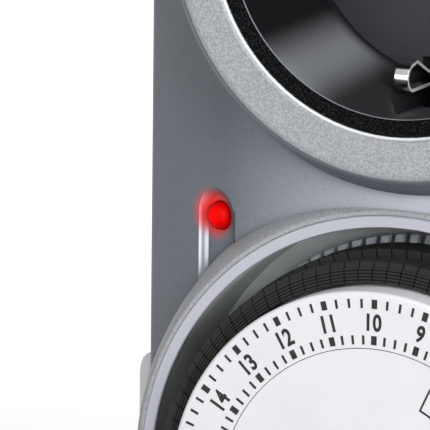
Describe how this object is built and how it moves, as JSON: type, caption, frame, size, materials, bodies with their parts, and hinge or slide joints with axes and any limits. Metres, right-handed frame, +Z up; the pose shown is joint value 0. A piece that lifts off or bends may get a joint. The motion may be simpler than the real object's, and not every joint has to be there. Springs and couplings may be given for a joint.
{
  "type": "plug in timer switch",
  "caption": "Plug-in socket timer with a silver housing, a round earthed socket, a motor-driven 24-hour dial of push-down segments, an indicator lamp and a side override slider",
  "frame": {"origin": "middle of the plug's end face, on the plug's axis", "axes": "+Y from the front towards the wall, along the plug pins; +Z up, along the housing's length; +X right as seen from the front"},
  "size_m": [0.075, 0.081, 0.1355],
  "materials": {
    "silver_shell": "satin silver lacquer with fine metallic grain",
    "bezel_silver": "smooth satin silver",
    "black_gloss": "moulded, gloss wall and fine textured rim",
    "natural_plastic": "plain moulded",
    "spring_steel": "bright",
    "brass_contact": "pressed",
    "tinned_strip": "bright plated",
    "plated_pin": "nickel plated",
    "zinc_plate": "zinc plated",
    "light_grey_plastic": "moulded",
    "segment_black": "moulded, fine grain",
    "dial_white": "satin, printed in black",
    "switch_black": "moulded",
    "switch_red": "moulded",
    "slider_grey": "moulded",
    "lens_red": "clear tinted",
    "lamp_red": "clear tinted",
    "board_green": "coated board"
  },
  "bodies": {
    "housing": {"front_housing": "silver_shell", "rear_housing": "silver_shell", "bezel_ring": "bezel_silver", "socket_insert": "black_gloss", "shutter_spring": "spring_steel", "contact_carrier": "natural_plastic", "live_contact": "brass_contact", "neutral_contact": "brass_contact", "earth_bracket": "brass_contact", "earth_clip_upper": "tinned_strip", "earth_clip_lower": "tinned_strip", "live_pin": "plated_pin", "neutral_pin": "plated_pin", "live_feed_strip": "brass_contact", "live_return_strip": "brass_contact", "mechanism_plate": "zinc_plate", "dial_axle": "spring_steel", "axle_clip": "spring_steel", "idler_pin": "spring_steel", "motor_can": "zinc_plate", "microswitch_case": "switch_black", "lever_pin": "spring_steel", "indicator_lens": "lens_red", "indicator_lamp": "lamp_red", "lamp_board": "board_green", "housing_screws": "spring_steel", "mechanism_screws": "spring_steel"},
    "dial": {"dial_drum": "light_grey_plastic", "segment_ring": "segment_black", "dial_disc": "dial_white"},
    "idler": {"idler_gear": "natural_plastic"},
    "motor_output": {"motor_pinion": "spring_steel"},
    "lever": {"trip_lever": "natural_plastic"},
    "button": {"microswitch_button": "switch_red"},
    "override": {"override_slider": "slider_grey"},
    "shutter_plate": {"shutter": "natural_plastic"},
    "hour_00": {"segments_hour_00": "segment_black"},
    "hour_01": {"segments_hour_01": "segment_black"},
    "hour_02": {"segments_hour_02": "segment_black"},
    "hour_03": {"segments_hour_03": "segment_black"},
    "hour_04": {"segments_hour_04": "segment_black"},
    "hour_05": {"segments_hour_05": "segment_black"},
    "hour_06": {"segments_hour_06": "segment_black"},
    "hour_07": {"segments_hour_07": "segment_black"},
    "hour_08": {"segments_hour_08": "segment_black"},
    "hour_09": {"segments_hour_09": "segment_black"},
    "hour_10": {"segments_hour_10": "segment_black"},
    "hour_11": {"segments_hour_11": "segment_black"},
    "hour_12": {"segments_hour_12": "segment_black"},
    "hour_13": {"segments_hour_13": "segment_black"},
    "hour_14": {"segments_hour_14": "segment_black"},
    "hour_15": {"segments_hour_15": "segment_black"},
    "hour_16": {"segments_hour_16": "segment_black"},
    "hour_17": {"segments_hour_17": "segment_black"},
    "hour_18": {"segments_hour_18": "segment_black"},
    "hour_19": {"segments_hour_19": "segment_black"},
    "hour_20": {"segments_hour_20": "segment_black"},
    "hour_21": {"segments_hour_21": "segment_black"},
    "hour_22": {"segments_hour_22": "segment_black"},
    "hour_23": {"segments_hour_23": "segment_black"}
  },
  "joints": [
    {"name": "dial_turn", "type": "hinge", "parent": "housing", "child": "dial", "pos_m": [0, -0.05, -0.062], "axis": [0, 1, 0], "continuous": true},
    {"name": "idler_turn", "type": "hinge", "parent": "housing", "child": "idler", "pos_m": [0.01202, -0.04, -0.04998], "axis": [0, 1, 0], "continuous": true},
    {"name": "motor_turn", "type": "hinge", "parent": "housing", "child": "motor_output", "pos_m": [0.01202, -0.037, -0.06448], "axis": [0, 1, 0], "continuous": true},
    {"name": "lever_tilt", "type": "hinge", "parent": "housing", "child": "lever", "pos_m": [-0.02546, -0.0406, -0.07603], "axis": [-1, 0, 0], "range_deg": [0, 12]},
    {"name": "button_press", "type": "slide", "parent": "housing", "child": "button", "axis": [0, 1, 0], "range_m": [0, 0.0015]},
    {"name": "override_slide", "type": "slide", "parent": "housing", "child": "override", "axis": [0, 0, -1], "range_m": [0, 0.004]},
    {"name": "shutter_turn", "type": "hinge", "parent": "housing", "child": "shutter_plate", "pos_m": [0, -0.038, 0], "axis": [0, 1, 0], "range_deg": [0, 45], "stiffness_Nm_per_rad": 0.002},
    {"name": "segments_00_slide", "type": "slide", "parent": "dial", "child": "hour_00", "axis": [0, 1, 0], "range_m": [0, 0.0025]},
    {"name": "segments_01_slide", "type": "slide", "parent": "dial", "child": "hour_01", "axis": [0, 1, 0], "range_m": [0, 0.0025]},
    {"name": "segments_02_slide", "type": "slide", "parent": "dial", "child": "hour_02", "axis": [0, 1, 0], "range_m": [0, 0.0025]},
    {"name": "segments_03_slide", "type": "slide", "parent": "dial", "child": "hour_03", "axis": [0, 1, 0], "range_m": [0, 0.0025]},
    {"name": "segments_04_slide", "type": "slide", "parent": "dial", "child": "hour_04", "axis": [0, 1, 0], "range_m": [0, 0.0025]},
    {"name": "segments_05_slide", "type": "slide", "parent": "dial", "child": "hour_05", "axis": [0, 1, 0], "range_m": [0, 0.0025]},
    {"name": "segments_06_slide", "type": "slide", "parent": "dial", "child": "hour_06", "axis": [0, 1, 0], "range_m": [0, 0.0025]},
    {"name": "segments_07_slide", "type": "slide", "parent": "dial", "child": "hour_07", "axis": [0, 1, 0], "range_m": [0, 0.0025]},
    {"name": "segments_08_slide", "type": "slide", "parent": "dial", "child": "hour_08", "axis": [0, 1, 0], "range_m": [0, 0.0025]},
    {"name": "segments_09_slide", "type": "slide", "parent": "dial", "child": "hour_09", "axis": [0, 1, 0], "range_m": [0, 0.0025]},
    {"name": "segments_10_slide", "type": "slide", "parent": "dial", "child": "hour_10", "axis": [0, 1, 0], "range_m": [0, 0.0025]},
    {"name": "segments_11_slide", "type": "slide", "parent": "dial", "child": "hour_11", "axis": [0, 1, 0], "range_m": [0, 0.0025]},
    {"name": "segments_12_slide", "type": "slide", "parent": "dial", "child": "hour_12", "axis": [0, 1, 0], "range_m": [0, 0.0025]},
    {"name": "segments_13_slide", "type": "slide", "parent": "dial", "child": "hour_13", "axis": [0, 1, 0], "range_m": [0, 0.0025]},
    {"name": "segments_14_slide", "type": "slide", "parent": "dial", "child": "hour_14", "axis": [0, 1, 0], "range_m": [0, 0.0025]},
    {"name": "segments_15_slide", "type": "slide", "parent": "dial", "child": "hour_15", "axis": [0, 1, 0], "range_m": [0, 0.0025]},
    {"name": "segments_16_slide", "type": "slide", "parent": "dial", "child": "hour_16", "axis": [0, 1, 0], "range_m": [0, 0.0025]},
    {"name": "segments_17_slide", "type": "slide", "parent": "dial", "child": "hour_17", "axis": [0, 1, 0], "range_m": [0, 0.0025]},
    {"name": "segments_18_slide", "type": "slide", "parent": "dial", "child": "hour_18", "axis": [0, 1, 0], "range_m": [0, 0.0025]},
    {"name": "segments_19_slide", "type": "slide", "parent": "dial", "child": "hour_19", "axis": [0, 1, 0], "range_m": [0, 0.0025]},
    {"name": "segments_20_slide", "type": "slide", "parent": "dial", "child": "hour_20", "axis": [0, 1, 0], "range_m": [0, 0.0025]},
    {"name": "segments_21_slide", "type": "slide", "parent": "dial", "child": "hour_21", "axis": [0, 1, 0], "range_m": [0, 0.0025]},
    {"name": "segments_22_slide", "type": "slide", "parent": "dial", "child": "hour_22", "axis": [0, 1, 0], "range_m": [0, 0.0025]},
    {"name": "segments_23_slide", "type": "slide", "parent": "dial", "child": "hour_23", "axis": [0, 1, 0], "range_m": [0, 0.0025]}
  ],
  "couplings": [
    {"joint": "idler_turn", "follows": "dial_turn", "ratio": -4.6667},
    {"joint": "motor_turn", "follows": "dial_turn", "ratio": 22.4},
    {"joint": "lever_tilt", "follows": "segments_16_slide", "rad_per_m": 75.76},
    {"joint": "button_press", "follows": "segments_16_slide", "ratio": 0.5}
  ]
}
